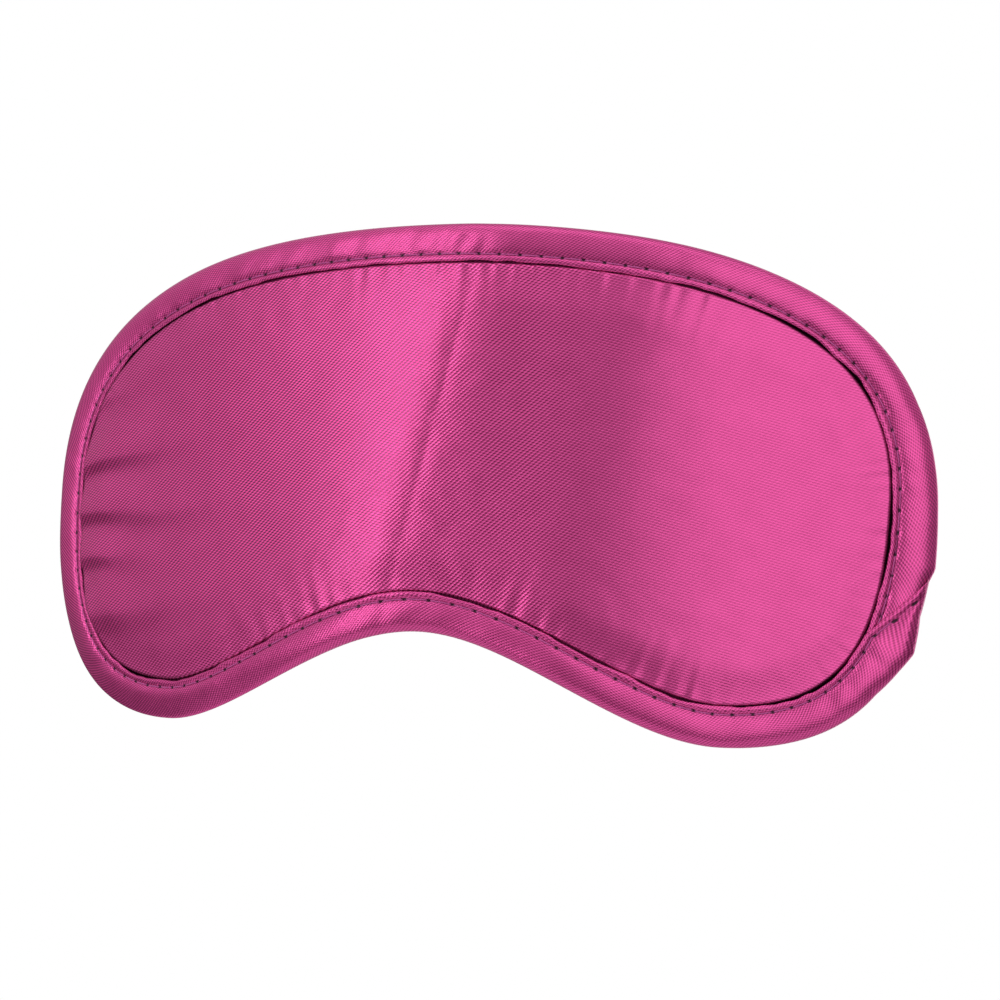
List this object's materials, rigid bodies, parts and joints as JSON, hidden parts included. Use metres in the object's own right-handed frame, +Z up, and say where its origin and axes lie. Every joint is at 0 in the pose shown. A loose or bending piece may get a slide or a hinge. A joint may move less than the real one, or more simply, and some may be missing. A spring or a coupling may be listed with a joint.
{
  "type": "sleep eye mask",
  "caption": "Padded satin sleep eye mask with a bound edge, a nose notch and an elastic strap that swings and stretches behind it.",
  "frame": {"origin": "on the back of the lining, on the nose line at eye level", "axes": "+X across the face, +Y from the mask towards the head and the strap, +Z up; the satin front faces -Y"},
  "size_m": [0.1961, 0.1177, 0.0995],
  "materials": {
    "satin": "fuchsia polyester satin, glossy, with a fine visible twill",
    "thread": "spun polyester sewing thread",
    "foam": "open-cell foam, matte",
    "lining": "matte brushed knit",
    "elastic": "braided elastic, ribbed along its length, matte",
    "black_thread": "spun polyester sewing thread"
  },
  "bodies": {
    "mask": {"front_panel": "satin", "foam_pad": "foam", "back_lining": "lining", "edge_binding": "satin", "binding_lap": "satin", "stitch_front": "thread", "stitch_back": "thread", "strap_end_left": "elastic", "strap_end_right": "elastic", "strap_tack_left": "black_thread", "strap_tack_right": "black_thread"},
    "strap_sides": {"strap_side_left": "elastic", "strap_side_right": "elastic"},
    "strap_rear": {"strap_rear": "elastic"}
  },
  "joints": [
    {"name": "strap_swing", "type": "hinge", "parent": "mask", "child": "strap_sides", "pos_m": [0, 0.0195, -0.005], "axis": [1, 0, 0], "range_deg": [-60, 60], "stiffness_Nm_per_rad": 0.02},
    {"name": "strap_stretch", "type": "slide", "parent": "strap_sides", "child": "strap_rear", "axis": [0, 1, 0], "range_m": [0, 0.05], "stiffness_N_per_m": 60}
  ]
}
